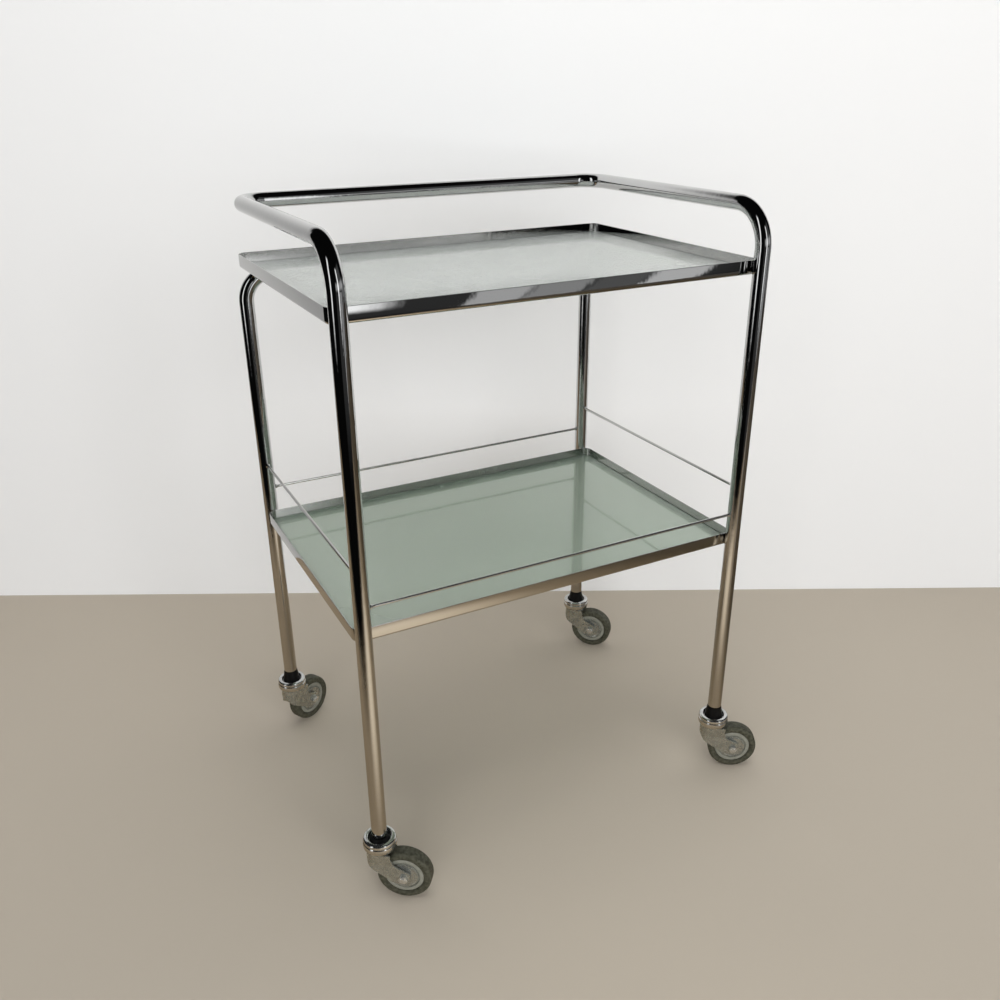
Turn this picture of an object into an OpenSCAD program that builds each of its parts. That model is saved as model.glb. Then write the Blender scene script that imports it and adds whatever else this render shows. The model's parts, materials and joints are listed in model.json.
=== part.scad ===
// Spa trolley cart: two glass shelves in a chromed tube frame on four swivel castors.
// Origin: on the floor, midway between the four castor stems.
// +X runs along the front to the right, +Y to the back, +Z up. Millimetres.

/* [Frame] */
// Distance between the left and right leg axes
leg_span_x = 600; // [520:10:700]
// Distance between the front and back leg axes
leg_span_y = 440; // [380:10:520]
// Outside diameter of the frame tube
tube_d = 22; // [20:1:25]
// Wall thickness of the frame tube
tube_wall = 1.5; // [1.2:0.1:2]
// Height of the handrail's axis above the floor
rail_z = 922; // [895:1:965]
// How far the rail's back bar sits in front of the rear leg axes
rail_setback = 12; // [0:1:20]
// Bend radius where the front legs turn into the rail, at the tube's axis
leg_bend_r = 56; // [40:1:60]
// Bend radius of the rail's two back corners, at the tube's axis
rail_corner_r = 38; // [32:1:60]
// Bend radius of the rear frame under the upper shelf, at the tube's axis
rear_bend_r = 42; // [32:1:60]
// Height of the lower ends of the legs above the floor
leg_end_z = 120; // [112:1:122]
// How much lower the front left leg ends, because its castor is pushed fully home
short_fit = 16; // [0:1:16]

/* [Shelves] */
// Outside length of a shelf rim
rim_l = 618; // [560:1:720]
// Height of a shelf rim
rim_h = 20; // [18:1:24]
// Radius of the rim's four upright corners
rim_corner_r = 13; // [13:1:20]
// Thickness of the rim's sheet
rim_t = 1.2; // [1:0.1:1.5]
// Radius of the rim's rounded lower edge
rim_edge_r = 4; // [3:0.5:5]
// Height of the top edge of the upper shelf
upper_top_z = 851; // [805:1:865]
// Height of the top edge of the lower shelf
lower_top_z = 437; // [405:1:465]
// Thickness of the glass plates
glass_t = 4; // [3:0.5:6]

/* [Gallery rods] */
// Diameter of the rods round the lower shelf
rod_d = 4.2; // [3:0.1:6]
// Height of the front and back rods
long_rod_z = 474; // [460:1:495]
// Height of the left and right rods
short_rod_z = 516; // [500:1:535]

/* [Castors] */
// Diameter of the wheels
wheel_d = 80; // [75:1:81]
// Width of the tyres
tyre_w = 22; // [18:1:24]
// Distance from a castor's stem to its axle
trail = 35; // [30:1:36]
// Way each wheel is parked, degrees from +X: front left, front right, back right, back left
parked = [-36, -30, -46, 30]; // [-180:1:180]

/* [Hidden] */
CORNERS = ["front_left", "front_right", "back_right", "back_left"];
CASTOR_PARTS = [
    "sleeve", "stem", "cup", "balls", "fork", "axle_bolt", "axle_nut", "bush", "wheel_centre", "tyre",
    "guards"
];
FIXED_NODES = [
    "front_frame", "rear_frame", "upper_rim", "upper_glass", "upper_pads", "lower_rim", "lower_glass",
    "lower_pads", "left_rod", "right_rod", "front_rod", "back_rod", "upper_pins", "rear_lugs", "lower_pins"
];

$fn = 64;
tube_r = tube_d / 2;
leg_x = leg_span_x / 2;
leg_y = leg_span_y / 2;
leg_at = [[-leg_x, -leg_y], [leg_x, -leg_y], [leg_x, leg_y], [-leg_x, leg_y]];
leg_ends = [leg_end_z - short_fit, leg_end_z, leg_end_z, leg_end_z];
rail_y = leg_y - rail_setback;
weld_gap = 0.2;
rim_w = 2 * (leg_y - tube_r - weld_gap);
pin_r = 3;
pin_l = 2.2;
lug_l = 30;
lug_w = 26;
lug_t = 2;
lug_at = 186;
lug_inset = 14;
lug_bite = 0.15;
rear_cross_z = upper_top_z - rim_h - lug_t - tube_r;
flange_w = rim_corner_r - 1;
pad_t = 0.8;
pad_r = 4;
pad_at = 240;
glass_gap = 0.8;
glass_lift = rim_t + pad_t;
bead_r = 3.4;
bead_sink = 1.9;
rod_bite = 0.4;

// Castor heights above the floor
wheel_r = wheel_d / 2;
plate_z = 81;
plate_t = 2.5;
plate_r = 20;
cup_low = 86.5;
cup_top = 103;
cup_r = 24.5;
cup_skirt_t = 2;
cup_bulge_r = 6;
mouth_r = 16;
mouth_floor = 96;
stem_r = 5;
stem_top = 155;
head_r = 9;
head_h = 4;
head_gap = 0.3;
sleeve_r = tube_r - tube_wall - 0.1;
sleeve_top = 153;
sleeve_foot_r = 14.9;
ball_r = 3;
ball_ring_r = 15;
ball_count = 14;
ball_gap = 0.1;
ball_z = plate_z + plate_t + ball_gap + ball_r;
arm_gap = 13.4;
arm_t = 2.2;
arm_end_r = 10;
axle_r = 4;
bolt_head_r = 7;
bolt_head_h = 4;
bolt_end = 6.5;
nut_r = 7.2;
nut_h = 5;
slip = 0.05;
bush_r = 6;
centre_r = 29;
centre_w = 18;
groove_r = 22.3;
groove_w = 1.3;
groove_depth = 2;
guard_r = 20.4;
guard_t = 0.9;
tyre_edge_r = 4.5;

// ---------- tube pieces ----------

module tube_ring() {
    difference() {
        circle(r = tube_r);
        circle(r = tube_r - tube_wall);
    }
}

// A straight tube from the origin along +Z
module tube_straight(length) {
    linear_extrude(height = length) tube_ring();
}

// A quarter bend in the XY plane about the origin, from -X round to +Y
module tube_bend(radius) {
    rotate([0, 0, 90])
        rotate_extrude(angle = 90, $fn = 96)
            translate([radius, 0])
                tube_ring();
}

// ---------- frame ----------

// One front leg with its bend, side rail and back corner; drawn on the left
module front_half(leg_end) {
    top_z = rail_z - leg_bend_r;
    side_start = -leg_y + leg_bend_r;
    side_end = rail_y - rail_corner_r;
    translate([-leg_x, -leg_y, leg_end])
        tube_straight(top_z - leg_end);
    translate([-leg_x, side_start, top_z])
        rotate([90, 0, 90])
            tube_bend(leg_bend_r);
    translate([-leg_x, side_start, rail_z])
        rotate([-90, 0, 0])
            tube_straight(side_end - side_start);
    translate([-leg_x + rail_corner_r, side_end, rail_z])
        tube_bend(rail_corner_r);
}

module front_frame() {
    bar_start = -leg_x + rail_corner_r;
    color("silver") {
        front_half(leg_ends[0]);
        mirror([1, 0, 0]) front_half(leg_ends[1]);
        translate([bar_start, rail_y, rail_z])
            rotate([0, 90, 0])
                tube_straight(-2 * bar_start);
    }
}

// One rear leg with its bend; drawn on the left
module rear_half(leg_end) {
    top_z = rear_cross_z - rear_bend_r;
    translate([-leg_x, leg_y, leg_end])
        tube_straight(top_z - leg_end);
    translate([-leg_x + rear_bend_r, leg_y, top_z])
        rotate([90, 0, 0])
            tube_bend(rear_bend_r);
}

module rear_frame() {
    bar_start = -leg_x + rear_bend_r;
    color("silver") {
        rear_half(leg_ends[3]);
        mirror([1, 0, 0]) rear_half(leg_ends[2]);
        translate([bar_start, leg_y, rear_cross_z])
            rotate([0, 90, 0])
                tube_straight(-2 * bar_start);
    }
}

// Small welded plates that carry the upper shelf's back edge on the rear frame
module rear_lugs() {
    low_z = upper_top_z - rim_h - lug_t - lug_bite;
    color("silver")
        for (side = [-1, 1])
            translate([side * lug_at - lug_l / 2, rim_w / 2 - lug_inset, low_z])
                cube([lug_l, lug_w, lug_t + lug_bite - slip]);
}

// A short weld pin along Y, from inside the leg's wall to the rim's face
module weld_pin(side_y) {
    translate([0, side_y * (rim_w / 2 + weld_gap / 2), 0])
        rotate([90, 0, 0])
            cylinder(r = pin_r, h = pin_l, center = true);
}

module upper_pins() {
    color("silver")
        for (side = [-1, 1])
            translate([side * leg_x, 0, upper_top_z - rim_h / 2])
                weld_pin(-1);
}

module lower_pins() {
    color("silver")
        for (side_x = [-1, 1])
            for (side_y = [-1, 1])
                translate([side_x * leg_x, 0, lower_top_z - rim_h / 2])
                    weld_pin(side_y);
}

// ---------- shelves ----------

// Rim section: upright wall, rounded lower edge and inward flange. x = 0 is the outer face.
module rim_section() {
    translate([0, rim_edge_r])
        square([rim_t, rim_h - rim_edge_r]);
    translate([rim_edge_r, 0])
        square([flange_w - rim_edge_r, rim_t]);
    intersection() {
        translate([rim_edge_r, rim_edge_r])
            difference() {
                circle(r = rim_edge_r);
                circle(r = rim_edge_r - rim_t);
            }
        square([rim_edge_r, rim_edge_r]);
    }
}

// One side of a rim along Y, its outer face at x = -reach
module rim_side(reach, length) {
    translate([-reach, length / 2, 0])
        rotate([90, 0, 0])
            linear_extrude(height = length)
                rim_section();
}

module rim(top_z) {
    straight_l = rim_l - 2 * rim_corner_r;
    straight_w = rim_w - 2 * rim_corner_r;
    color("silver")
        translate([0, 0, top_z - rim_h]) {
            for (turn = [0, 180])
                rotate([0, 0, turn]) rim_side(rim_l / 2, straight_w);
            for (turn = [90, 270])
                rotate([0, 0, turn]) rim_side(rim_w / 2, straight_l);
            for (corner = [0:3])
                translate([
                    (corner == 0 || corner == 3 ? 1 : -1) * straight_l / 2,
                    (corner < 2 ? 1 : -1) * straight_w / 2,
                    0
                ])
                    rotate([0, 0, 90 * corner])
                        rotate_extrude(angle = 90)
                            translate([rim_corner_r, 0])
                                mirror([1, 0])
                                    rim_section();
        }
}

module rounded_plate(length, width, radius, thickness) {
    linear_extrude(height = thickness) {
        square([length - 2 * radius, width], center = true);
        square([length, width - 2 * radius], center = true);
        for (side_x = [-1, 1])
            for (side_y = [-1, 1])
                translate([side_x * (length / 2 - radius), side_y * (width / 2 - radius)])
                    circle(r = radius);
    }
}

module glass(top_z) {
    inset = rim_t + glass_gap;
    translate([0, 0, top_z - rim_h + glass_lift])
        rounded_plate(rim_l - 2 * inset, rim_w - 2 * inset, rim_corner_r - inset, glass_t);
}

// Clear bumper pads between the flange and the glass
module pads(top_z) {
    inset = flange_w - pad_r - 0.5;
    translate([0, 0, top_z - rim_h + rim_t])
        for (column = [-1:1])
            for (side_y = [-1, 1])
                translate([column * pad_at, side_y * (rim_w / 2 - inset), 0])
                    cylinder(r = pad_r, h = pad_t);
}

module upper_rim() { rim(upper_top_z); }
module lower_rim() { rim(lower_top_z); }
module upper_glass() { color([0.85, 0.9, 0.86, 0.7]) glass(upper_top_z); }
module lower_glass() { color([0.6, 0.72, 0.64, 0.7]) glass(lower_top_z); }
module upper_pads() { color("white") pads(upper_top_z); }
module lower_pads() { color("white") pads(lower_top_z); }

// ---------- gallery rods ----------

// A rod along X between two legs, with a weld bead at each end
module rod(span) {
    reach = span / 2 - tube_r + rod_bite;
    bead_at = span / 2 - tube_r - bead_sink;
    color("silver") {
        rotate([0, 90, 0]) cylinder(d = rod_d, h = 2 * reach, center = true, $fn = 32);
        for (side = [-1, 1])
            translate([side * bead_at, 0, 0])
                sphere(r = bead_r, $fn = 32);
    }
}

module front_rod() { translate([0, -leg_y, long_rod_z]) rod(leg_span_x); }
module back_rod() { translate([0, leg_y, long_rod_z]) rod(leg_span_x); }
module left_rod() { translate([-leg_x, 0, short_rod_z]) rotate([0, 0, 90]) rod(leg_span_y); }
module right_rod() { translate([leg_x, 0, short_rod_z]) rotate([0, 0, 90]) rod(leg_span_y); }

// ---------- castors ----------
// Each is drawn with its stem on the Z axis, the floor at z = 0 and the wheel trailing along +X

module at_castor(index) {
    translate([leg_at[index][0], leg_at[index][1], 0])
        rotate([0, 0, parked[index]])
            children();
}

// Black expander sleeve: a plug inside the leg and a flared foot below it
module sleeve(index) {
    leg_end = leg_ends[index];
    color([0.05, 0.05, 0.05])
        at_castor(index)
            rotate_extrude()
                polygon([
                    [stem_r + slip, mouth_floor + 0.2],
                    [sleeve_foot_r, mouth_floor + 0.2],
                    [sleeve_foot_r, mouth_floor + 3],
                    [tube_r + 0.2, leg_end - 0.5],
                    [sleeve_r, leg_end - 0.5],
                    [sleeve_r, sleeve_top - 2],
                    [sleeve_r - 1.5, sleeve_top],
                    [stem_r + slip, sleeve_top]
                ]);
}

// Stem bolt: its head is held under the fork plate and its shank runs up into the leg
module stem(index) {
    color("gainsboro")
        at_castor(index) {
            translate([0, 0, plate_z - head_h - head_gap])
                cylinder(r = head_r, h = head_h, $fn = 6);
            translate([0, 0, plate_z - 1])
                cylinder(r = stem_r, h = stem_top - plate_z + 1);
        }
}

// Pressed upper cup of the swivel bearing, with a mouth that takes the sleeve's foot
module cup(index) {
    race_top = ball_z + ball_r + ball_gap;
    color("gainsboro")
        at_castor(index)
            rotate_extrude()
                difference() {
                    union() {
                        translate([0, cup_low])
                            square([cup_r, cup_top - cup_low - cup_bulge_r]);
                        translate([0, cup_low])
                            square([cup_r - cup_bulge_r, cup_top - cup_low]);
                        translate([cup_r - cup_bulge_r, cup_top - cup_bulge_r])
                            circle(r = cup_bulge_r);
                    }
                    translate([0, mouth_floor])
                        square([mouth_r, cup_top]);
                    square([stem_r + slip, cup_top]);
                    translate([head_r, cup_low - 1])
                        square([cup_r - cup_skirt_t - head_r, race_top - cup_low + 1]);
                }
}

// Ring of bearing balls between the cup and the fork plate
module balls(index) {
    color("lightgray")
        at_castor(index)
            for (ball = [0:ball_count - 1])
                rotate([0, 0, 360 / ball_count * ball])
                    translate([ball_ring_r, 0, ball_z])
                        sphere(r = ball_r, $fn = 24);
}

// Side view of the fork: deep under the bearing and swept back to round ends at the axle
module fork_outline() {
    top_z = plate_z + plate_t;
    polygon([
        [-plate_r, top_z],
        [-plate_r, plate_z - 15],
        [-14, plate_z - 26],
        [trail - arm_end_r * 0.7, wheel_r - arm_end_r * 0.7],
        [trail + arm_end_r, wheel_r],
        [trail + arm_end_r * 0.7, wheel_r + arm_end_r * 0.7],
        [22, plate_z - 21],
        [plate_r - 1, plate_z - 8],
        [plate_r - 1, top_z]
    ]);
    translate([trail, wheel_r])
        circle(r = arm_end_r);
}

// Plan of the fork: two straight walls joined by a round nose
module fork_plan(half_w) {
    circle(r = half_w);
    translate([0, -half_w])
        square([trail + 2 * arm_end_r, 2 * half_w]);
}

// Swivel fork: round plate under the bearing, and a folded wall that makes the nose and both arms
module fork(index) {
    outer = arm_gap + arm_t;
    color([0.72, 0.72, 0.68])
        at_castor(index)
            difference() {
                union() {
                    intersection() {
                        linear_extrude(height = plate_z + plate_t)
                            difference() {
                                fork_plan(outer);
                                fork_plan(arm_gap);
                            }
                        rotate([90, 0, 0])
                            linear_extrude(height = 3 * outer, center = true)
                                fork_outline();
                    }
                    translate([0, 0, plate_z])
                        cylinder(r = plate_r, h = plate_t);
                }
                translate([0, 0, plate_z - 1])
                    cylinder(r = stem_r + slip, h = plate_t + 2);
                translate([trail, 0, wheel_r])
                    rotate([90, 0, 0])
                        cylinder(r = axle_r + slip, h = 3 * outer, center = true);
            }
}

module at_axle(index) {
    at_castor(index)
        translate([trail, 0, wheel_r])
            rotate([90, 0, 0])
                children();
}

// Axle bolt along the wheel's axis, its hexagon head outside one arm of the fork
module axle_bolt(index) {
    reach = arm_gap + arm_t;
    color("gainsboro")
        at_axle(index) {
            translate([0, 0, -reach - bolt_end])
                cylinder(r = axle_r, h = 2 * reach + bolt_end + slip * 4);
            translate([0, 0, reach + slip * 2])
                cylinder(r = bolt_head_r, h = bolt_head_h, $fn = 6);
            translate([0, 0, reach + slip * 2 + bolt_head_h])
                cylinder(r = bolt_head_r - 2.5, h = 0.6);
        }
}

module axle_nut(index) {
    reach = arm_gap + arm_t;
    color("gainsboro")
        at_axle(index)
            translate([0, 0, -reach - slip * 2 - nut_h])
                difference() {
                    cylinder(r = nut_r, h = nut_h, $fn = 6);
                    translate([0, 0, -1])
                        cylinder(r = axle_r + slip, h = nut_h + 2);
                }
}

// Plain bush pressed into the wheel's centre, turning on the axle
module bush(index) {
    color("white")
        at_axle(index)
            difference() {
                cylinder(r = bush_r, h = 2 * arm_gap - 0.8, center = true);
                cylinder(r = axle_r + slip, h = 3 * arm_gap, center = true);
            }
}

// Moulded wheel centre with a groove in each face
module wheel_centre(index) {
    color([0.62, 0.65, 0.62])
        at_axle(index)
            difference() {
                cylinder(r = centre_r, h = centre_w, center = true);
                cylinder(r = bush_r + slip, h = centre_w + 2, center = true);
                for (side = [-1, 1])
                    translate([0, 0, side * (centre_w / 2)])
                        difference() {
                            cylinder(r = groove_r, h = 2 * groove_depth, center = true);
                            cylinder(r = groove_r - groove_w, h = 3 * groove_depth, center = true);
                        }
            }
}

// Rubber tyre with rounded shoulders
module tyre(index) {
    color([0.25, 0.27, 0.22])
        at_axle(index)
            rotate_extrude($fn = 96)
                difference() {
                    union() {
                        translate([centre_r + slip, -tyre_w / 2])
                            square([wheel_r - tyre_edge_r - centre_r - slip, tyre_w]);
                        translate([centre_r + slip, -tyre_w / 2 + tyre_edge_r])
                            square([wheel_r - centre_r - slip, tyre_w - 2 * tyre_edge_r]);
                        for (side = [-1, 1])
                            translate([wheel_r - tyre_edge_r, side * (tyre_w / 2 - tyre_edge_r)])
                                circle(r = tyre_edge_r);
                    }
                    for (side = [-1, 1])
                        translate([centre_r - 1, side * (tyre_w / 2 + 1) - 1.5])
                            square([2.6, 3]);
                }
}

// Zinc discs that keep threads out of the wheel, one on each face
module guards(index) {
    color("gainsboro")
        at_axle(index)
            for (side = [-1, 1])
                translate([0, 0, side * (centre_w / 2 + guard_t / 2 + 0.1)])
                    difference() {
                        cylinder(r = guard_r, h = guard_t, center = true);
                        cylinder(r = bush_r + slip, h = 3 * guard_t, center = true);
                    }
}

// ---------- assembly ----------

front_frame();
rear_frame();
upper_rim();
upper_glass();
upper_pads();
lower_rim();
lower_glass();
lower_pads();
left_rod();
right_rod();
front_rod();
back_rod();
upper_pins();
rear_lugs();
lower_pins();
for (index = [0:3]) {
    sleeve(index);
    stem(index);
    cup(index);
    balls(index);
    fork(index);
    axle_bolt(index);
    axle_nut(index);
    bush(index);
    wheel_centre(index);
    tyre(index);
    guards(index);
}
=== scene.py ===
import json
import math

import bmesh
import bpy
from mathutils import Matrix, Vector


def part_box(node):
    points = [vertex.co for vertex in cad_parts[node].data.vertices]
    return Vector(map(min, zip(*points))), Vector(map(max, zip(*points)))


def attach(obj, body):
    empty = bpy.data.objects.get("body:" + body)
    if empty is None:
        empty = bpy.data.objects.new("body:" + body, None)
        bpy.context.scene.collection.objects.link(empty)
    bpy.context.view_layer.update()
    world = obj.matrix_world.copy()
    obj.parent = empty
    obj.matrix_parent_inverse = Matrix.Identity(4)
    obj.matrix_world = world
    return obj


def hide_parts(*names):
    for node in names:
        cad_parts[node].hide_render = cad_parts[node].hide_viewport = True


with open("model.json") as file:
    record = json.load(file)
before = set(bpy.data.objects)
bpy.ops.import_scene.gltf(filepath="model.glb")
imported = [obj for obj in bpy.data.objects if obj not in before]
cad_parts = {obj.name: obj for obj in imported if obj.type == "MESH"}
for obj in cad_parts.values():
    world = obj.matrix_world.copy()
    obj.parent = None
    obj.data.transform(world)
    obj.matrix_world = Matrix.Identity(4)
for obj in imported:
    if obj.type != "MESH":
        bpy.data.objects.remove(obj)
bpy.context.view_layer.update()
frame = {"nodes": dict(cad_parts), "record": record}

CORNERS = ("front_left", "front_right", "back_right", "back_left")
TAU = 2 * math.pi
VIEW_YAW = -27.39  # heading of the camera in degrees; the wall stands square to it


# ---------- camera ----------

def make_camera():
    """A standing person's view of the trolley from its front left corner."""
    data = bpy.data.cameras.new("camera")
    data.lens = 33.8
    data.sensor_width = 36
    data.shift_y = 0.009
    camera = bpy.data.objects.new("camera", data)
    turn = Matrix.Rotation(math.radians(VIEW_YAW), 4, "Z")
    tilt = Matrix.Rotation(math.radians(90 - 24.62), 4, "X")
    roll = Matrix.Rotation(math.radians(-0.47), 4, "Z")
    camera.matrix_world = Matrix.Translation((-0.6141, -1.2067, 1.0784)) @ turn @ tilt @ roll
    bpy.context.scene.collection.objects.link(camera)
    bpy.context.scene.camera = camera


make_camera()


# ---------- places and sizes read from the frame ----------

def node_box(name):
    low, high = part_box(name)
    return Vector(low), Vector(high)


FRONT_LOW, FRONT_HIGH = node_box("front_frame")
REAR_LOW, REAR_HIGH = node_box("rear_frame")
TUBE_R = (REAR_HIGH.y - REAR_LOW.y) / 2
TUBE_WALL = 0.0015
LEG_X = REAR_HIGH.x - TUBE_R
LEG_Y = REAR_HIGH.y - TUBE_R
RAIL_Z = FRONT_HIGH.z - TUBE_R
RAIL_Y = FRONT_HIGH.y - TUBE_R
CROSS_Z = REAR_HIGH.z - TUBE_R
LEG_BEND_R = 0.056
RAIL_CORNER_R = 0.038
REAR_BEND_R = 0.042
RIM_CORNER_R = 0.013
JOINTS = {joint["name"]: joint for joint in frame["record"]["behaviour"]["joints"]}


def castor_matrix(corner):
    """The castor's own frame: stem on Z, floor at zero, wheel trailing along +X."""
    stem = Vector(JOINTS["swivel_turn_" + corner]["pos_m"])
    axle = Vector(JOINTS["wheel_spin_" + corner]["pos_m"])
    angle = math.atan2(axle.y - stem.y, axle.x - stem.x)
    return Matrix.Translation((stem.x, stem.y, 0)) @ Matrix.Rotation(angle, 4, "Z")


def trail_and_radius():
    stem = Vector(JOINTS["swivel_turn_front_left"]["pos_m"])
    axle = Vector(JOINTS["wheel_spin_front_left"]["pos_m"])
    return (axle.xy - stem.xy).length, axle.z


TRAIL, WHEEL_R = trail_and_radius()
CLEAR_Z = 2 * WHEEL_R + 0.001  # underside of the fork's plate, just over the wheel
STEM_BORE = 0.0051
BOLT_R = 0.0040
AXLE_BORE = 0.0041
ARM_FACE = 0.0158  # outside of a fork arm, from the wheel's middle plane
BUSH_BORE = 0.00605
HUB_R = 0.0290  # where the moulded centre ends and the tyre begins
GUARD_R = 0.0204


# ---------- materials ----------

class Paint:
    """A principled material with procedural colour, roughness and relief in object space."""

    def __init__(self, name, **sockets):
        self.material = bpy.data.materials.new(name)
        self.material.use_nodes = True
        self.nodes = self.material.node_tree.nodes
        self.links = self.material.node_tree.links
        self.shader = self.nodes["Principled BSDF"]
        self.place = self.nodes.new("ShaderNodeTexCoord").outputs["Object"]
        for socket, value in sockets.items():
            self.shader.inputs[socket.replace("_", " ")].default_value = value

    def noise(self, scale, detail=3.0, stretch=(1, 1, 1)):
        mapping = self.nodes.new("ShaderNodeMapping")
        mapping.inputs["Scale"].default_value = stretch
        self.links.new(self.place, mapping.inputs["Vector"])
        texture = self.nodes.new("ShaderNodeTexNoise")
        texture.inputs["Scale"].default_value = scale
        texture.inputs["Detail"].default_value = detail
        self.links.new(mapping.outputs["Vector"], texture.inputs["Vector"])
        return texture.outputs["Fac"]

    def cells(self, scale, feature="F1"):
        texture = self.nodes.new("ShaderNodeTexVoronoi")
        texture.feature = feature
        texture.inputs["Scale"].default_value = scale
        self.links.new(self.place, texture.inputs["Vector"])
        return texture

    def spread(self, value, low, high, start=0.3, end=0.7):
        stretch = self.nodes.new("ShaderNodeMapRange")
        stretch.inputs["From Min"].default_value = start
        stretch.inputs["From Max"].default_value = end
        stretch.inputs["To Min"].default_value = low
        stretch.inputs["To Max"].default_value = high
        self.links.new(value, stretch.inputs["Value"])
        return stretch.outputs["Result"]

    def blend(self, value, first, second, start=0.35, end=0.65):
        ramp = self.nodes.new("ShaderNodeValToRGB")
        ramp.color_ramp.elements[0].position = start
        ramp.color_ramp.elements[0].color = (*first, 1)
        ramp.color_ramp.elements[1].position = end
        ramp.color_ramp.elements[1].color = (*second, 1)
        self.links.new(value, ramp.inputs["Fac"])
        return ramp.outputs["Color"]

    def fade(self, direction, start, end):
        """Rises from 0 to 1 along a direction, between two distances from the origin."""
        dot = self.nodes.new("ShaderNodeVectorMath")
        dot.operation = "DOT_PRODUCT"
        dot.inputs[1].default_value = Vector(direction).normalized()
        self.links.new(self.place, dot.inputs[0])
        soft = self.nodes.new("ShaderNodeMapRange")
        soft.interpolation_type = "SMOOTHSTEP"
        soft.inputs["From Min"].default_value = start
        soft.inputs["From Max"].default_value = end
        self.links.new(dot.outputs["Value"], soft.inputs["Value"])
        return soft.outputs["Result"]

    def glow(self, centre, inner, outer, level):
        """A round patch, full inside one radius and gone beyond another."""
        away = self.nodes.new("ShaderNodeVectorMath")
        away.operation = "DISTANCE"
        away.inputs[1].default_value = centre
        self.links.new(self.place, away.inputs[0])
        soft = self.nodes.new("ShaderNodeMapRange")
        soft.interpolation_type = "SMOOTHSTEP"
        soft.inputs["From Min"].default_value = outer
        soft.inputs["From Max"].default_value = inner
        soft.inputs["To Max"].default_value = level
        self.links.new(away.outputs["Value"], soft.inputs["Value"])
        return soft.outputs["Result"]

    def see_through(self, amount):
        """Mixes the shader with a clear one."""
        clear = self.nodes.new("ShaderNodeBsdfTransparent")
        mix = self.nodes.new("ShaderNodeMixShader")
        self.links.new(amount, mix.inputs["Fac"])
        self.links.new(self.shader.outputs["BSDF"], mix.inputs[1])
        self.links.new(clear.outputs["BSDF"], mix.inputs[2])
        self.links.new(mix.outputs["Shader"], self.nodes["Material Output"].inputs["Surface"])

    def colour(self, output):
        self.links.new(output, self.shader.inputs["Base Color"])

    def roughness(self, output):
        self.links.new(output, self.shader.inputs["Roughness"])

    def relief(self, output, depth, strength=1.0):
        bump = self.nodes.new("ShaderNodeBump")
        bump.inputs["Distance"].default_value = depth
        bump.inputs["Strength"].default_value = strength
        self.links.new(output, bump.inputs["Height"])
        previous = self.shader.inputs["Normal"]
        if previous.is_linked:
            self.links.new(previous.links[0].from_socket, bump.inputs["Normal"])
        self.links.new(bump.outputs["Normal"], previous)


def chrome(name, tint, haze, ripple):
    """Mirror plating with faint haze, wiped smears and pin-prick pitting."""
    paint = Paint(name, Metallic=1.0)
    paint.colour(paint.blend(paint.noise(900, 2), [0.72 * c for c in tint], tint, 0.25, 0.36))
    paint.roughness(paint.spread(paint.noise(38, 4), 0.02, haze, 0.35, 0.75))
    paint.relief(paint.noise(55, 2), ripple, 0.5)
    return paint.material


def zinc(name, light, dark, rough_low, rough_high, metal=0.75):
    """Zinc plating on pressed steel: soft spangle, dull patches and small dents."""
    paint = Paint(name, Metallic=metal)
    paint.colour(paint.blend(paint.noise(95, 3), dark, light))
    paint.roughness(paint.spread(paint.noise(160, 3), rough_low, rough_high))
    paint.relief(paint.noise(140, 2), 0.00025, 0.4)
    return paint.material


def textured_glass():
    """Rolled glass: pale green, finely pebbled on top, scattering what lies behind it."""
    paint = Paint(
        "textured_glass", Transmission_Weight=0.6, IOR=1.5, Coat_Weight=0.6, Coat_Roughness=0.12
    )
    paint.colour(paint.blend(paint.noise(26, 4), (0.90, 0.95, 0.90), (0.94, 0.98, 0.94)))
    pebbles = paint.cells(270, "SMOOTH_F1").outputs["Distance"]
    paint.relief(pebbles, 0.0024, 1.0)
    paint.relief(paint.noise(1300, 2), 0.0003, 0.6)
    paint.roughness(paint.spread(paint.noise(700, 3), 0.14, 0.26))
    return paint.material


def smooth_glass():
    """Float glass: even green body under a clear polished face."""
    paint = Paint(
        "smooth_glass",
        Transmission_Weight=0.55, IOR=1.5, Alpha=0.9, Coat_Weight=1.0, Coat_Roughness=0.012,
    )
    paint.colour(paint.blend(paint.noise(3, 2), (0.485, 0.60, 0.49), (0.515, 0.63, 0.52)))
    paint.roughness(paint.spread(paint.noise(9, 2), 0.16, 0.2))
    return paint.material


def moulded(name, first, second, rough_low, rough_high, shine=0.5):
    """Moulded plastic or rubber with fine grain and uneven tone."""
    paint = Paint(name, Specular_IOR_Level=shine)
    paint.colour(paint.blend(paint.noise(130, 5), first, second))
    paint.roughness(paint.spread(paint.noise(340, 3), rough_low, rough_high))
    paint.relief(paint.noise(1600, 2), 0.0002, 0.5)
    return paint.material


def tyre_rubber():
    """Worn solid rubber: grey-green with pale scuffs and dust."""
    paint = Paint("tyre_rubber", Specular_IOR_Level=0.3)
    paint.colour(paint.blend(paint.noise(220, 6), (0.036, 0.036, 0.024), (0.088, 0.086, 0.062)))
    paint.roughness(paint.spread(paint.noise(300, 4), 0.45, 0.72))
    paint.relief(paint.noise(900, 4), 0.0004, 0.6)
    return paint.material


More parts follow.
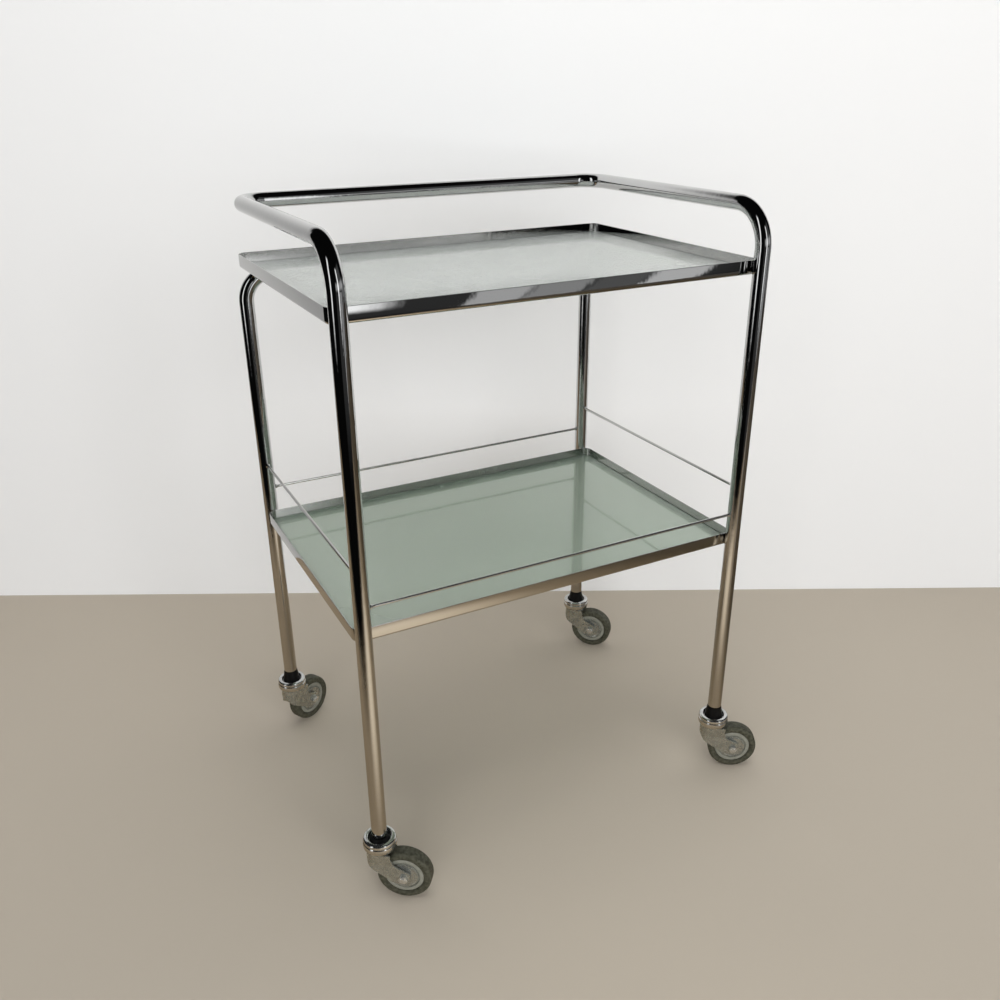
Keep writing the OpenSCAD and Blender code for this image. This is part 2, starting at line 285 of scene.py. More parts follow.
MATERIALS = {
    "chrome_tube": chrome("chrome_tube", (0.57, 0.57, 0.57), 0.06, 0.00022),
    "chrome_sheet": chrome("chrome_sheet", (0.57, 0.57, 0.565), 0.04, 0.0001),
    "chrome_rod": chrome("chrome_rod", (0.57, 0.57, 0.56), 0.12, 0.0002),
    "textured_glass": textured_glass(),
    "smooth_glass": smooth_glass(),
    "clear_pad": moulded("clear_pad", (0.62, 0.66, 0.64), (0.72, 0.75, 0.73), 0.3, 0.45),
    "black_plastic": moulded(
        "black_plastic", (0.003, 0.003, 0.003), (0.006, 0.006, 0.006), 0.3, 0.45, shine=0.15
    ),
    "zinc_bolt": zinc("zinc_bolt", (0.66, 0.66, 0.62), (0.56, 0.56, 0.52), 0.18, 0.3),
    "zinc_cup": zinc("zinc_cup", (0.70, 0.71, 0.70), (0.60, 0.61, 0.61), 0.1, 0.18, metal=0.97),
    "steel_ball": zinc("steel_ball", (0.75, 0.75, 0.75), (0.6, 0.6, 0.6), 0.08, 0.16),
    "zinc_fork": zinc("zinc_fork", (0.44, 0.45, 0.41), (0.36, 0.37, 0.335), 0.2, 0.32),
    "bush_plastic": moulded("bush_plastic", (0.55, 0.55, 0.5), (0.65, 0.65, 0.6), 0.4, 0.55),
    "wheel_grey": moulded("wheel_grey", (0.20, 0.20, 0.165), (0.26, 0.26, 0.22), 0.38, 0.55),
    "tyre_rubber": tyre_rubber(),
    "zinc_guard": zinc("zinc_guard", (0.44, 0.455, 0.42), (0.36, 0.37, 0.34), 0.2, 0.32),
}


def carry_over():
    """Every CAD node takes the finish that the record names for it."""
    for part in frame["record"]["subparts"]:
        node = frame["nodes"][part["node"]]
        for slot in node.material_slots:
            slot.material = MATERIALS[part["material_slot"]]


carry_over()
SLOT_OF = {part["node"]: part["material_slot"] for part in frame["record"]["subparts"]}


# ---------- mesh helpers ----------

def finish_piece(name, mesh, body, nodes, sharp=35):
    """Links a finished mesh as a piece that stands for CAD nodes and rides on a body."""
    mesh.shade_smooth()
    mesh.set_sharp_from_angle(angle=math.radians(sharp))
    piece = bpy.data.objects.new(name, mesh)
    bpy.context.scene.collection.objects.link(piece)
    slot = SLOT_OF[nodes[0]]
    mesh.materials.append(MATERIALS[slot])
    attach(piece, body)
    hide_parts(*nodes)
    return piece


def mesh_from(bm, name):
    bmesh.ops.recalc_face_normals(bm, faces=bm.faces)
    mesh = bpy.data.meshes.new(name)
    bm.to_mesh(mesh)
    bm.free()
    return mesh


def bridge(bm, first, second, closed=True):
    """Quads between two rings of vertices of the same length."""
    count = len(first)
    for i in range(count if closed else count - 1):
        j = (i + 1) % count
        bm.faces.new((first[i], first[j], second[j], second[i]))


def add_loft(bm, rings, loop=False):
    """Skins closed rings of points; loop joins the last ring to the first."""
    made = [[bm.verts.new(point) for point in ring] for ring in rings]
    for first, second in zip(made, made[1:]):
        bridge(bm, first, second)
    if loop:
        bridge(bm, made[-1], made[0])
    return made


def add_lathe(bm, profile, placed=Matrix(), segments=72):
    """A closed profile of (radius, height) points turned round the Z axis."""
    rings = []
    for step in range(segments):
        turn = Matrix.Rotation(TAU * step / segments, 4, "Z")
        rings.append([placed @ (turn @ Vector((radius, 0, height))) for radius, height in profile])
    add_loft(bm, rings, loop=True)


def fillet(points, steps=6):
    """Rounds the corners of a closed outline; each point is (x, y, radius)."""
    outline = []
    count = len(points)
    for i, (x, y, radius) in enumerate(points):
        corner = Vector((x, y))
        if radius <= 0:
            outline.append(corner)
            continue
        before = (Vector(points[i - 1][:2]) - corner).normalized()
        after = (Vector(points[(i + 1) % count][:2]) - corner).normalized()
        half = before.angle(after) / 2
        centre = corner + (before + after).normalized() * (radius / math.sin(half))
        start = corner + before * (radius / math.tan(half)) - centre
        end = corner + after * (radius / math.tan(half)) - centre
        sweep = start.angle_signed(end)
        for step in range(steps + 1):
            turn = Matrix.Rotation(-sweep * step / steps, 2)
            outline.append(centre + turn @ start)
    return outline


# ---------- tubes ----------

def arc(centre, start, end, steps=24):
    """Points of a quarter circle about centre, from centre + start to centre + end."""
    return [
        centre + start * math.cos(math.pi / 2 * i / steps) + end * math.sin(math.pi / 2 * i / steps)
        for i in range(steps + 1)
    ]


def add_tube(bm, path, radius, wall, segments=56):
    """A hollow tube along a path, open at both ends."""
    forward = (path[1] - path[0]).normalized()
    side = forward.orthogonal().normalized()
    outer, inner = [], []
    for i, point in enumerate(path):
        ahead = path[min(i + 1, len(path) - 1)] - path[max(i - 1, 0)]
        turn = forward.rotation_difference(ahead.normalized())
        forward = ahead.normalized()
        side = turn @ side
        across = forward.cross(side)
        spokes = [
            side * math.cos(TAU * k / segments) + across * math.sin(TAU * k / segments)
            for k in range(segments)
        ]
        outer.append([point + spoke * radius for spoke in spokes])
        inner.append([point + spoke * (radius - wall) for spoke in spokes])
    lip = wall * 0.25
    start_in = (path[1] - path[0]).normalized() * lip
    end_in = (path[-2] - path[-1]).normalized() * lip
    first = [p + (q - p).normalized() * lip for p, q in zip(outer[0], inner[0])]
    last = [p + (q - p).normalized() * lip for p, q in zip(outer[-1], inner[-1])]
    outer[0] = [p + start_in for p in outer[0]]
    outer[-1] = [p + end_in for p in outer[-1]]
    add_loft(bm, [first, *outer, last, *reversed(inner)], loop=True)


def straight(start, end, steps=8):
    """The points between two ends, without the ends themselves."""
    return [start.lerp(end, i / steps) for i in range(1, steps)]


def front_tube():
    """Front legs and handrail, one tube bent four times."""
    x, y, z = Vector((1, 0, 0)), Vector((0, 1, 0)), Vector((0, 0, 1))
    bottom_left = FRONT_LOW.z
    bottom_right = REAR_LOW.z
    path = [Vector((-LEG_X, -LEG_Y, bottom_left))]
    bend = Vector((-LEG_X, -LEG_Y + LEG_BEND_R, RAIL_Z - LEG_BEND_R))
    path += straight(path[0], bend - y * LEG_BEND_R)
    path += arc(bend, -y * LEG_BEND_R, z * LEG_BEND_R)
    corner = Vector((-LEG_X + RAIL_CORNER_R, RAIL_Y - RAIL_CORNER_R, RAIL_Z))
    path += straight(path[-1], corner - x * RAIL_CORNER_R)
    path += arc(corner, -x * RAIL_CORNER_R, y * RAIL_CORNER_R)
    mirrored = [Vector((-p.x, p.y, p.z)) for p in reversed(path)]
    path += straight(path[-1], mirrored[0]) + mirrored
    path[-1].z = bottom_right
    bm = bmesh.new()
    add_tube(bm, path, TUBE_R, TUBE_WALL)
    finish_piece("front_frame_tube", mesh_from(bm, "front_frame_tube"), "trolley", ["front_frame"])


def rear_tube():
    """Rear legs and the cross tube under the upper shelf."""
    x, z = Vector((1, 0, 0)), Vector((0, 0, 1))
    path = [Vector((-LEG_X, LEG_Y, REAR_LOW.z))]
    bend = Vector((-LEG_X + REAR_BEND_R, LEG_Y, CROSS_Z - REAR_BEND_R))
    path += straight(path[0], bend - x * REAR_BEND_R)
    path += arc(bend, -x * REAR_BEND_R, z * REAR_BEND_R)
    mirrored = [Vector((-p.x, p.y, p.z)) for p in reversed(path)]
    path += straight(path[-1], mirrored[0]) + mirrored
    bm = bmesh.new()
    add_tube(bm, path, TUBE_R, TUBE_WALL)
    finish_piece("rear_frame_tube", mesh_from(bm, "rear_frame_tube"), "trolley", ["rear_frame"])


# ---------- shelves ----------

def rounded_rectangle(length, width, radius, steps=12):
    """Points and outward directions of a rounded rectangle, as (point, outward) pairs."""
    stations = []
    for quarter in range(4):
        sign_x = 1 if quarter in (0, 3) else -1
        sign_y = 1 if quarter < 2 else -1
        centre = Vector((sign_x * (length / 2 - radius), sign_y * (width / 2 - radius), 0))
        for step in range(steps + 1):
            angle = math.pi / 2 * (quarter + step / steps)
            outward = Vector((math.cos(angle), math.sin(angle), 0))
            stations.append((centre + outward * radius, outward))
    return stations


def shelf_rim(name):
    """Folded sheet rim: rolled top edge, upright wall, rounded lower edge and inward flange."""
    low, high = node_box(name)
    sheet, edge_r, flange = 0.0012, 0.004, 0.012
    height = high.z - low.z
    section = fillet([
        (0, height, sheet * 0.48),
        (0, 0, edge_r),
        (flange, 0, 0.0002),
        (flange, sheet, 0.0002),
        (sheet, sheet, edge_r - sheet),
        (sheet, height, sheet * 0.48),
    ])
    rings = []
    for point, outward in rounded_rectangle(high.x - low.x, high.y - low.y, RIM_CORNER_R):
        rings.append([point - outward * inset + Vector((0, 0, low.z + up)) for inset, up in section])
    bm = bmesh.new()
    add_loft(bm, rings, loop=True)
    finish_piece(name + "_sheet", mesh_from(bm, name), "trolley", [name])


def glass_plate(name):
    """Glass plate with rounded corners and ground edges."""
    low, high = node_box(name)
    radius = RIM_CORNER_R - 0.002
    ground = 0.0007
    outline = rounded_rectangle(high.x - low.x, high.y - low.y, radius)
    levels = [(ground, low.z), (0, low.z + ground), (0, high.z - ground), (ground, high.z)]
    bm = bmesh.new()
    rings = [
        [point - outward * inset + Vector((0, 0, level)) for point, outward in outline]
        for inset, level in levels
    ]
    made = add_loft(bm, rings)
    bm.faces.new(made[0])
    bm.faces.new(made[-1])
    finish_piece(name + "_plate", mesh_from(bm, name), "trolley", [name])


# ---------- gallery rods ----------

def gallery_rod(name):
    """Round wire welded between two legs, swelling into a weld bead at each end."""
    low, high = node_box(name)
    centre = (low + high) / 2
    along_x = high.x - low.x > high.y - low.y
    half = max(high.x - low.x, high.y - low.y) / 2
    wire, bead = 0.0021, (high.z - low.z) / 2
    bead_at, end_r = half - 0.0024, 0.0024
    shape = [(-half, 0), (-half, end_r)]
    for step in range(-6, 7):
        swell = math.cos(step / 6 * math.pi / 2) ** 1.5
        shape.append((-bead_at + step * 0.0005, wire + (bead - wire) * swell))
    shape = [pair for pair in shape if pair[0] >= -half]
    shape += [(-bead_at + 0.006, wire)]
    shape += [(-at, size) for at, size in reversed(shape)]
    turn = Matrix.Rotation(math.pi / 2, 4, "Y" if along_x else "X")
    placed = Matrix.Translation(centre) @ turn
    rings = []
    segments = 28
    for at, size in shape:
        rings.append([
            placed @ Vector((max(size, 1e-5) * math.cos(TAU * k / segments),
                             max(size, 1e-5) * math.sin(TAU * k / segments), at))
            for k in range(segments)
        ])
    bm = bmesh.new()
    made = add_loft(bm, rings)
    bm.faces.new(made[0])
    bm.faces.new(made[-1])
    finish_piece(name + "_wire", mesh_from(bm, name), "trolley", [name])


# ---------- castors ----------

def castor_sleeve(corner):
    """Black sleeve: a plug in the leg's bore and a cone that widens down to its foot in the cup."""
    low, high = node_box("sleeve_" + corner)
    leg_end = FRONT_LOW.z if corner == "front_left" else REAR_LOW.z
    plug, foot = 0.0093, (high.x - low.x) / 2
    profile = fillet([
        (STEM_BORE, low.z, 0),
        (foot, low.z, 0.0008),
        (foot, low.z + 0.0035, 0.0015),
        (TUBE_R + 0.0003, leg_end - 0.0006, 0.0006),
        (plug, leg_end - 0.0006, 0),
        (plug, high.z, 0.001),
        (STEM_BORE, high.z, 0),
    ], 4)
    bm = bmesh.new()
    add_lathe(bm, profile, castor_matrix(corner))
    finish_piece("leg_sleeve_" + corner, mesh_from(bm, "sleeve"), "trolley", ["sleeve_" + corner])


def castor_cup(corner):
    """Bearing cup: two rolled beads round the outside and a rounded mouth."""
    low, high = node_box("cup_" + corner)
    outer = (high.x - low.x) / 2
    waist = low.z + 0.0092
    mouth = 0.0159
    profile = fillet([
        (STEM_BORE, low.z + 0.0056, 0),
        (outer - 0.002, low.z + 0.0056, 0.001),
        (outer - 0.002, low.z, 0.0004),
        (outer - 0.0006, low.z, 0.0005),
        (outer, low.z + 0.004, 0.0025),
        (outer - 0.0004, waist - 0.0012, 0.0012),
        (outer - 0.0016, waist, 0.0008),
        (outer - 0.0006, waist + 0.0016, 0.0012),
        (outer - 0.0012, high.z - 0.0016, 0.003),
        (mouth + 0.0015, high.z, 0.0022),
        (mouth, high.z - 0.0035, 0.0012),
        (mouth, low.z + 0.0095, 0.0005),
        (STEM_BORE, low.z + 0.0095, 0),
    ], 5)
    bm = bmesh.new()
    add_lathe(bm, profile, castor_matrix(corner), 96)
    finish_piece("bearing_cup_" + corner, mesh_from(bm, "cup"), "trolley", ["cup_" + corner])


def fork_skirt():
    """Side walls and nose of the pressed fork, round under the cup and flat at the axle."""
    top, low, sheet = CLEAR_Z + 0.0025, WHEEL_R - 0.012, 0.0022
    round_r, arm_half, reach = 0.0200, 0.0156, 0.055
    rows, nose_steps, side_steps = 22, 24, 16
    rings_out, rings_in = [], []
    for row in range(rows + 1):
        height = top + (low - top) * row / rows
        ease = min(1, (top - height) / 0.024)
        ease = ease * ease * (3 - 2 * ease)
        half = round_r + (arm_half - round_r) * ease
        for rings, shrink in ((rings_out, 0.0), (rings_in, sheet)):
            wide = half - shrink
            deep = round_r - shrink
            ring = []
            power = 1 + 0.35 * ease
            for step in range(side_steps):
                ring.append(Vector((reach * (1 - step / side_steps), wide, height)))
            for step in range(nose_steps + 1):
                angle = math.pi * step / nose_steps
                ring.append(Vector((
                    -deep * abs(math.sin(angle)) ** (1 / power),
                    wide * math.copysign(abs(math.cos(angle)) ** (1 / power), math.cos(angle)),
                    height,
                )))
            for step in range(side_steps):
                ring.append(Vector((reach * (step + 1) / side_steps, -wide, height)))
            rings.append(ring)
    bm = bmesh.new()
    loops = [outer + list(reversed(inner)) for outer, inner in zip(rings_out, rings_in)]
    made = add_loft(bm, loops)
    count = len(rings_out[0])
    for ring in (made[0], made[-1]):
        for i in range(count - 1):
            bm.faces.new((ring[i], ring[i + 1], ring[2 * count - 2 - i], ring[2 * count - 1 - i]))
    return mesh_from(bm, "fork_skirt")


def fork_cutter():
    """Side view of the fork, pushed right across it."""
    end_r = 0.0102
    outline = fillet([
        (-0.0215, CLEAR_Z + 0.0030, 0),
        (-0.0215, CLEAR_Z - 0.0140, 0.004),
        (-0.0150, CLEAR_Z - 0.0260, 0.010),
        (TRAIL - 0.012, WHEEL_R - 0.0102, 0.006),
        (TRAIL + end_r, WHEEL_R - 0.0102, 0.0098),
        (TRAIL + end_r, WHEEL_R + 0.0085, 0.0075),
        (0.0215, CLEAR_Z - 0.0200, 0.007),
        (0.0185, CLEAR_Z - 0.0060, 0.004),
        (0.0185, CLEAR_Z + 0.0030, 0),
    ], 8)
    bm = bmesh.new()
    rings = [[Vector((p.x, y, p.y)) for p in outline] for y in (-0.03, 0.03)]
    made = add_loft(bm, rings)
    bm.faces.new(made[0])
    bm.faces.new(made[1])
    return mesh_from(bm, "fork_cutter")


def boolean(mesh, other, operation):
    """The exact boolean of two meshes, applied."""
    first = bpy.data.objects.new("boolean_a", mesh)
    second = bpy.data.objects.new("boolean_b", other)
    for part in (first, second):
        bpy.context.scene.collection.objects.link(part)
    cut = first.modifiers.new("cut", "BOOLEAN")
    cut.operation = operation
    cut.solver = "EXACT"
    cut.object = second
    graph = bpy.context.evaluated_depsgraph_get()
    result = bpy.data.meshes.new_from_object(first.evaluated_get(graph))
    for part in (first, second):
        bpy.data.objects.remove(part)
    return result


def fork_mesh():
    """The whole fork in the castor's own frame: skirt, round plate and a raised ring on each arm."""
    plate_r, ring_r = 0.0198, 0.0082
    skirt = boolean(fork_skirt(), fork_cutter(), "INTERSECT")
    bm = bmesh.new()
    bm.from_mesh(skirt)
    add_lathe(bm, fillet([
        (STEM_BORE, CLEAR_Z + 0.0002, 0),
        (plate_r, CLEAR_Z + 0.0002, 0.0006),
        (plate_r, CLEAR_Z + 0.0025, 0.0010),
        (STEM_BORE, CLEAR_Z + 0.0025, 0),
    ], 4))
    axle = Matrix.Translation((TRAIL, 0, WHEEL_R)) @ Matrix.Rotation(math.pi / 2, 4, "X")
    for side in (-1, 1):
        turn = axle @ Matrix.Rotation(0 if side > 0 else math.pi, 4, "X")
        add_lathe(bm, fillet([
            (AXLE_BORE, ARM_FACE - 0.0008, 0),
            (ring_r, ARM_FACE - 0.0008, 0),
            (ring_r, ARM_FACE + 0.0001, 0.0005),
            (AXLE_BORE, ARM_FACE + 0.0001, 0),
        ], 3), turn, 48)
    return mesh_from(bm, "fork")


FORK = fork_mesh()


def castor_fork(corner):
    mesh = FORK.copy()
    mesh.transform(castor_matrix(corner))
    finish_piece("swivel_fork_" + corner, mesh, "swivel_" + corner, ["fork_" + corner], 32)


def axle_matrix(corner):
    """The wheel's own frame, its axle on Z."""
    axle = Matrix.Translation((TRAIL, 0, WHEEL_R)) @ Matrix.Rotation(math.pi / 2, 4, "X")
    return castor_matrix(corner) @ axle


def add_hexagon(bm, placed, across, low, high, chamfer=0.0006):
    """A hexagon head or nut with chamfered faces."""
    levels = [(0.93, low), (1, low + chamfer), (1, high - chamfer), (0.9, high)]
    corners = [(across * math.cos(TAU * k / 6), across * math.sin(TAU * k / 6)) for k in range(6)]
    rings = [
        [placed @ Vector((size * x, size * y, level)) for x, y in corners]
        for size, level in levels
    ]
    made = add_loft(bm, rings)
    bm.faces.new(made[0])
    bm.faces.new(made[-1])


def castor_bolt(corner):
    """Axle bolt: hexagon head with a domed top, plain shank and threaded end."""
    placed = axle_matrix(corner)
    face, middle, tip, pitch = ARM_FACE + 0.0003, 0.0001, -0.0221, 0.0004
    bm = bmesh.new()
    add_hexagon(bm, placed, 0.0070, face, face + 0.0040)
    add_lathe(bm, fillet([
        (middle, face + 0.0038, 0),
        (0.0050, face + 0.0038, 0),
        (0.0036, face + 0.0047, 0.0006),
        (middle, face + 0.0048, 0),
    ], 4), placed, 32)
    shank = [(middle, face), (BOLT_R, face), (BOLT_R, -0.0205)]
    for turn in range(4):
        shank += [(0.0036, -0.0206 - turn * pitch), (BOLT_R, -0.0208 - turn * pitch)]
    shank += [(0.0034, tip), (middle, tip)]
    add_lathe(bm, shank, placed, 32)
    mesh = mesh_from(bm, "bolt")
    finish_piece("axle_bolt_piece_" + corner, mesh, "swivel_" + corner, ["axle_bolt_" + corner], 28)


def castor_nut(corner):
    """Axle nut on the far arm, with a low collar round the bolt's end."""
    placed = axle_matrix(corner) @ Matrix.Rotation(math.pi, 4, "X")
    top, inner = ARM_FACE + 0.0050, 0.0042
    bm = bmesh.new()
    add_hexagon(bm, placed, 0.0072, ARM_FACE, ARM_FACE + 0.0048)
    add_lathe(bm, fillet([
        (inner, ARM_FACE + 0.0044, 0),
        (0.0062, ARM_FACE + 0.0044, 0),
        (0.0058, top, 0.0002),
        (inner, top, 0),
    ], 3), placed, 32)
    mesh = mesh_from(bm, "nut")
    finish_piece("axle_nut_piece_" + corner, mesh, "swivel_" + corner, ["axle_nut_" + corner], 28)


def mirrored_profile(half):
    """Closes a profile's upper half with its mirror image below."""
    return half + [(radius, -height) for radius, height in reversed(half)]


def castor_tyre(corner):
    """Solid tyre: crowned tread, round shoulders and a stepped side."""
    half_w, seat_r = 0.011, HUB_R + 0.00005
    half = [tuple(p) for p in fillet([
        (seat_r, 0.0, 0),
        (seat_r, 0.0094, 0),
        (0.0304, 0.0094, 0.0003),
        (0.0308, half_w - 0.0006, 0.0006),
        (0.0345, half_w, 0.003),
        (WHEEL_R - 0.0002, half_w - 0.0012, 0.0042),
        (WHEEL_R, 0.0, 0),
    ], 8)][1:]
    bm = bmesh.new()
    add_lathe(bm, mirrored_profile(half), axle_matrix(corner), 120)
    mesh = mesh_from(bm, "tyre")
    finish_piece("rubber_tyre_" + corner, mesh, "wheel_" + corner, ["tyre_" + corner])


def castor_centre(corner):
    """Moulded wheel centre: rounded rim ring and a deep groove round the guard."""
    half = [tuple(p) for p in fillet([
        (BUSH_BORE, 0.0, 0),
        (BUSH_BORE, 0.0086, 0),
        (0.0206, 0.0086, 0.0002),
        (0.0208, 0.0066, 0.0002),
        (0.0226, 0.0066, 0.0002),
        (0.0229, 0.0093, 0.0008),
        (0.0282, 0.0090, 0.0012),
        (HUB_R, 0.0076, 0.0006),
        (HUB_R, 0.0, 0),
    ], 5)][1:]
    bm = bmesh.new()
    add_lathe(bm, mirrored_profile(half[:-1]), axle_matrix(corner), 120)
    mesh = mesh_from(bm, "centre")
    finish_piece("wheel_disc_" + corner, mesh, "wheel_" + corner, ["wheel_centre_" + corner])


def castor_guards(corner):
    """Two dished thread guards with a turned-up edge."""
    bm = bmesh.new()
    profile = fillet([
        (0.0062, 0.0090, 0),
        (GUARD_R - 0.0001, 0.0087, 0),
        (GUARD_R, 0.0099, 0.0004),
        (0.0194, 0.0102, 0.0006),
        (0.0175, 0.0094, 0.0015),
        (0.0130, 0.0098, 0.004),
        (0.0062, 0.0108, 0),
    ], 5)
    for side in (0, math.pi):
        add_lathe(bm, profile, axle_matrix(corner) @ Matrix.Rotation(side, 4, "X"), 96)
    mesh = mesh_from(bm, "guards")
    finish_piece("thread_guards_" + corner, mesh, "wheel_" + corner, ["guards_" + corner])


# ---------- stage ----------

def stage_plane(name, size, placed, material):
    bm = bmesh.new()
    bmesh.ops.create_grid(bm, x_segments=8, y_segments=8, size=0.5)
    mesh = mesh_from(bm, name)
    mesh.transform(Matrix.Diagonal((size[0], size[1], 1, 1)))
    mesh.transform(placed)
    plane = bpy.data.objects.new(name, mesh)
    mesh.materials.append(material)
    bpy.context.scene.collection.objects.link(plane)
    return plane


def wall_paint():
    """Near-white wall that is clear from behind, so it never hides the trolley."""
    paint = Paint("wall_paint", Base_Color=(0.9, 0.9, 0.9, 1), Roughness=0.9)
    side = paint.nodes.new("ShaderNodeNewGeometry")
    paint.see_through(side.outputs["Backfacing"])
    return paint.material


def floor_paint():
    """Pale plain floor, with a little light of its own far out, where the lamps don't reach."""
    shade = (0.53, 0.468, 0.385, 1)
    paint = Paint("floor_paint", Base_Color=shade, Emission_Color=shade, Roughness=0.6)
    paint.links.new(paint.glow((0, 0, 0), 5.0, 1.9, 0.65), paint.shader.inputs["Emission Strength"])
    return paint.material


def mirrored_floor_paint():
    """The floor as the chrome sees it: warm, with a patch of window light, painted shade darkening it
    towards its right end, and dark far out.
    """
    paint = Paint("mirrored_floor_paint", Roughness=0.3, Emission_Color=(1, 0.87, 0.68, 1))
    # Painted shade: the reflected floor darkens from warm brown to dark brown towards its right end.
    painted_shade_to_the_right = paint.fade((1, 0, 0), 0.15, 0.8)
    window_light = paint.glow((-0.15, -0.78, 0), 0.12, 0.52, 0.55)
    paint.colour(paint.blend(painted_shade_to_the_right, (0.39, 0.292, 0.18), (0.11, 0.08, 0.045), 0, 1))
    paint.links.new(window_light, paint.shader.inputs["Emission Strength"])
    paint.see_through(paint.fade((-0.75, -0.66, 0), 0.62, 1.16))
    return paint.material


def mirrored_wall_paint():
    """The wall as the chrome sees it: painted shade greys its left end, and it fades out above the
    handrail.
    """
    paint = Paint("mirrored_wall_paint", Roughness=0.9)
    # Painted shade: the reflected wall is grey at its left end and near-white towards the right.
    painted_shade_along_wall = paint.fade((0.888, -0.46, 0), -1.2, -0.35)
    paint.colour(paint.blend(painted_shade_along_wall, (0.5, 0.5, 0.505), (0.88, 0.88, 0.875), 0, 1))
    paint.see_through(paint.fade((0, 0, 1), 1.25, 1.62))
    return paint.material


def only_in_mirrors(plane):
    """Hides a plane from everything but reflections."""
    for eye in ("camera", "diffuse", "transmission", "shadow"):
        setattr(plane, "visible_" + eye, False)


def make_stage():
    """Floor and wall, each with a smaller twin that only mirrors see, so reflections stay dark."""
    floor = stage_plane("floor", (14, 14), Matrix.Translation((0, 0, -0.0002)), floor_paint())
    only_in_mirrors(stage_plane(
        "mirrored_floor", (6, 5), Matrix.Translation((1.2, -0.1, -0.0001)), mirrored_floor_paint()
    ))
    foot = Matrix.Translation((0.2566, 0.4768, 0)) @ Matrix.Rotation(math.radians(VIEW_YAW), 4, "Z")
    upright = Matrix.Rotation(math.pi / 2, 4, "X")
    wall_at = foot @ Matrix.Translation((0.3, 0, 1.15)) @ upright
    mirrored_at = foot @ Matrix.Translation((-0.05, 0, 0.825)) @ upright
    wall = stage_plane("wall", (5, 2.3), wall_at, wall_paint())
    only_in_mirrors(stage_plane("mirrored_wall", (2.5, 1.65), mirrored_at, mirrored_wall_paint()))
    floor.visible_glossy = False
    wall.visible_glossy = False


class Sky:
    """The room beyond the stage, as patches of light by direction."""

    def __init__(self):
        world = bpy.data.worlds.new("room")
        bpy.context.scene.world = world
        world.use_nodes = True
        self.nodes, self.links = world.node_tree.nodes, world.node_tree.links
        self.background = self.nodes["Background"]
        self.place = self.nodes.new("ShaderNodeTexCoord").outputs["Generated"]

    def maths(self, operation, first, second):
        node = self.nodes.new("ShaderNodeMath")
        node.operation = operation
        for socket, value in zip(node.inputs, (first, second)):
            if isinstance(value, (int, float)):
                socket.default_value = value
            else:
                self.links.new(value, socket)
        return node.outputs["Value"]

    def ramp(self, value, start, end, level=1.0):
        soft = self.nodes.new("ShaderNodeMapRange")
        soft.interpolation_type = "SMOOTHSTEP"
        soft.inputs["From Min"].default_value = start
        soft.inputs["From Max"].default_value = end
        soft.inputs["To Min"].default_value = 0
        soft.inputs["To Max"].default_value = level
        self.links.new(value, soft.inputs["Value"])
        return soft.outputs["Result"]

    def along(self, direction):
        dot = self.nodes.new("ShaderNodeVectorMath")
        dot.operation = "DOT_PRODUCT"
        dot.inputs[1].default_value = Vector(direction).normalized()
        self.links.new(self.place, dot.inputs[0])
        return dot.outputs["Value"]

    def patch(self, heading, half_width, low, high, level, soft):
        """Light between two elevations, within half_width of a heading; all in degrees."""
        def cos(degrees):
            return math.cos(math.radians(degrees))

        def sin(degrees):
            return math.sin(math.radians(degrees))

        wide = self.along((cos(heading), sin(heading), 0))
        up = self.along((0, 0, 1))
        flat = self.maths("SQRT", self.maths("SUBTRACT", 1, self.maths("POWER", up, 2)), 0)
        turned = self.maths("DIVIDE", wide, self.maths("MAXIMUM", flat, 0.001))
        inside = self.ramp(turned, cos(half_width + soft), cos(max(half_width - soft, 0)))
        over = self.ramp(up, sin(low - soft), sin(low + soft))
        under = self.ramp(up, sin(high + soft), sin(high - soft))
        strength = self.maths("MULTIPLY", under, level)
        return self.maths("MULTIPLY", self.maths("MULTIPLY", inside, over), strength)


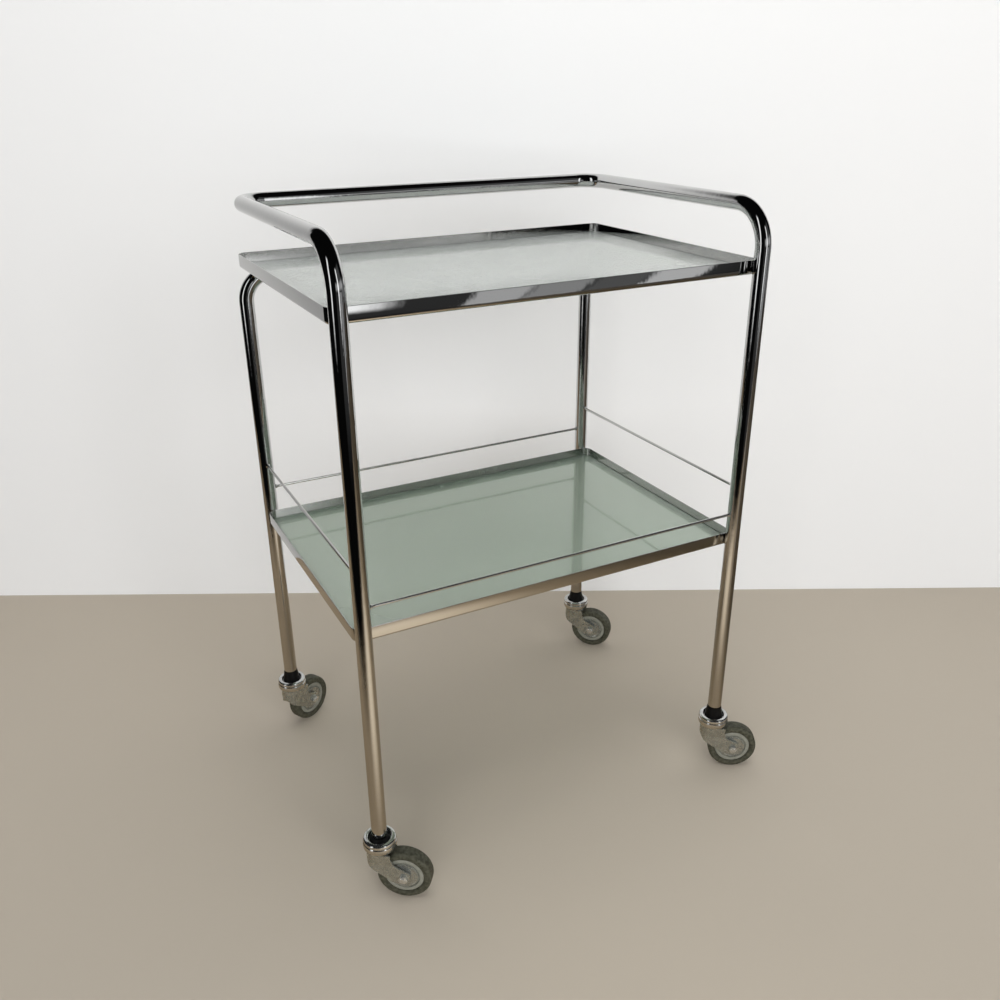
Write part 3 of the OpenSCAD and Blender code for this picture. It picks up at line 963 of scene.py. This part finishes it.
def make_world():
    """A dim room with a bright far side and tall windows; plain pale behind everything for the eye."""
    sky = Sky()
    total, seen_directly = 0.003, 0.78
    for heading, half_width, low, high, level, soft in (
        (293, 40, 1, 14, 0.42, 4),
        (298, 30, 14, 40, 0.07, 4),
        (282, 4, -12, 40, 1.5, 3),
        (282, 34, -20, 0, 0.035, 4),
        (296.2, 2.2, -18, -3, 0.5, 0.4),
        (300.9, 2.2, -18, -3, 0.3, 0.4),
        (305.6, 2.0, -18, -3, 0.08, 0.4),
        (310.2, 2.2, -18, -3, 0.62, 0.4),
        (350, 30, -30, 8, 0.17, 5),
        (195, 6, -13, 45, 1.4, 3),
    ):
        total = sky.maths("ADD", total, sky.patch(heading, half_width, low, high, level, soft))
    eye = sky.nodes.new("ShaderNodeLightPath").outputs["Is Camera Ray"]
    room = sky.maths("MULTIPLY", total, sky.maths("SUBTRACT", 1, eye))
    strength = sky.maths("ADD", room, sky.maths("MULTIPLY", eye, seen_directly))
    sky.links.new(strength, sky.background.inputs["Strength"])
    sky.background.inputs["Color"].default_value = (0.985, 0.992, 1.0, 1)


def area_light(name, at, aim, size, power, tint=(1, 1, 1)):
    """A soft rectangular lamp that neither the eye nor the chrome sees."""
    data = bpy.data.lights.new(name, "AREA")
    data.shape = "RECTANGLE"
    data.size, data.size_y = size
    data.energy = power
    data.color = tint
    lamp = bpy.data.objects.new(name, data)
    lamp.location = at
    lamp.rotation_mode = "QUATERNION"
    lamp.rotation_quaternion = (Vector(aim) - Vector(at)).to_track_quat("-Z", "Y")
    lamp.visible_camera = False
    lamp.visible_glossy = False
    bpy.context.scene.collection.objects.link(lamp)


def make_lights():
    cool = (0.97, 0.985, 1.0)
    area_light("overhead", (-0.1, -0.5, 3.4), (0, 0, 0.3), (2.4, 2.0), 44, cool)
    area_light("front_fill", (-1.3, -3.3, 1.5), (0.1, 0, 0.55), (4.0, 2.4), 102, cool)
    area_light("front_window", (0.55, -3.6, 1.9), (0.1, 0, 0.6), (0.9, 1.8), 14)


front_tube()
rear_tube()
for shelf in ("upper", "lower"):
    shelf_rim(shelf + "_rim")
    glass_plate(shelf + "_glass")
for side in ("left", "right", "front", "back"):
    gallery_rod(side + "_rod")
for corner_name in CORNERS:
    castor_sleeve(corner_name)
    castor_cup(corner_name)
    castor_fork(corner_name)
    castor_bolt(corner_name)
    castor_nut(corner_name)
    castor_tyre(corner_name)
    castor_centre(corner_name)
    castor_guards(corner_name)
make_stage()
make_world()
make_lights()
bpy.context.scene.view_settings.view_transform = "Standard"
